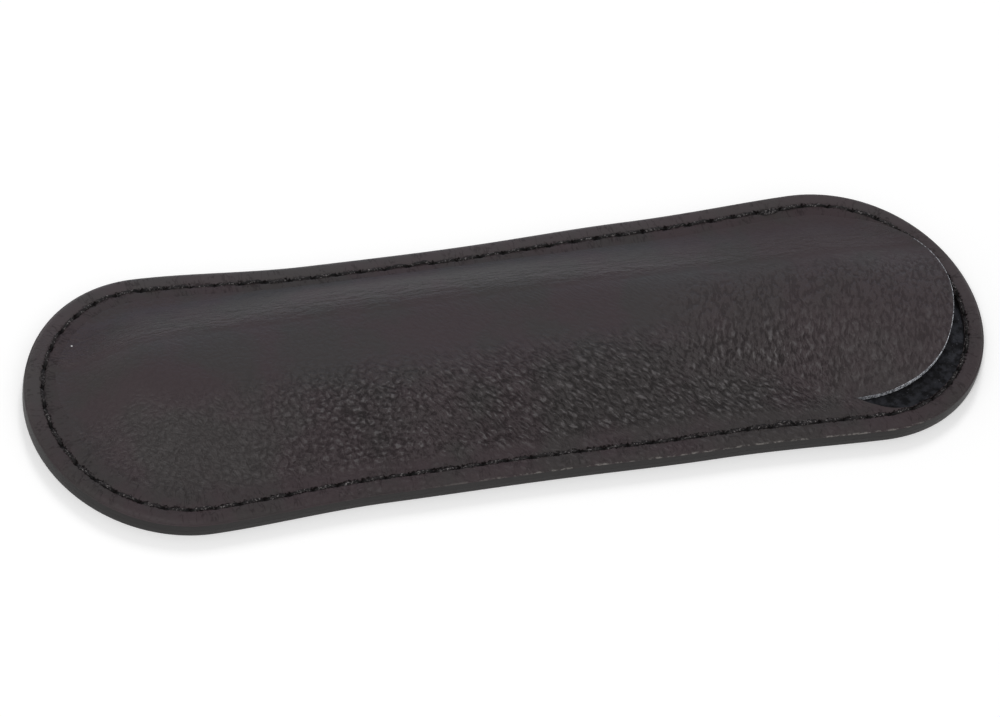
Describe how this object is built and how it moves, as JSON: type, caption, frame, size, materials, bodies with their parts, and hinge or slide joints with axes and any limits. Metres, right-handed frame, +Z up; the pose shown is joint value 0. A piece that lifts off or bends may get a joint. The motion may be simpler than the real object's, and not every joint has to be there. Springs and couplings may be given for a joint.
{
  "type": "pen case",
  "caption": "Slip pouch of black leather for one pen: flat lined back, wet-formed domed front, crescent mouth at one end, lockstitched edge.",
  "frame": {"origin": "on the surface the case lies on, under the middle of its outline", "axes": "+X along the case towards its mouth, +Z up from the flat back to the domed front"},
  "size_m": [0.14, 0.0446, 0.0074],
  "materials": {
    "front_leather": "black pebble-grained leather with a satin sheen",
    "back_leather": "black grained leather with a painted edge",
    "suede": "matt blue-black suede",
    "thread": "black waxed sewing thread"
  },
  "bodies": {
    "root": {"front_panel": "front_leather", "back_panel": "back_leather", "back_lining": "suede", "needle_thread": "thread", "bobbin_thread": "thread"}
  },
  "joints": []
}
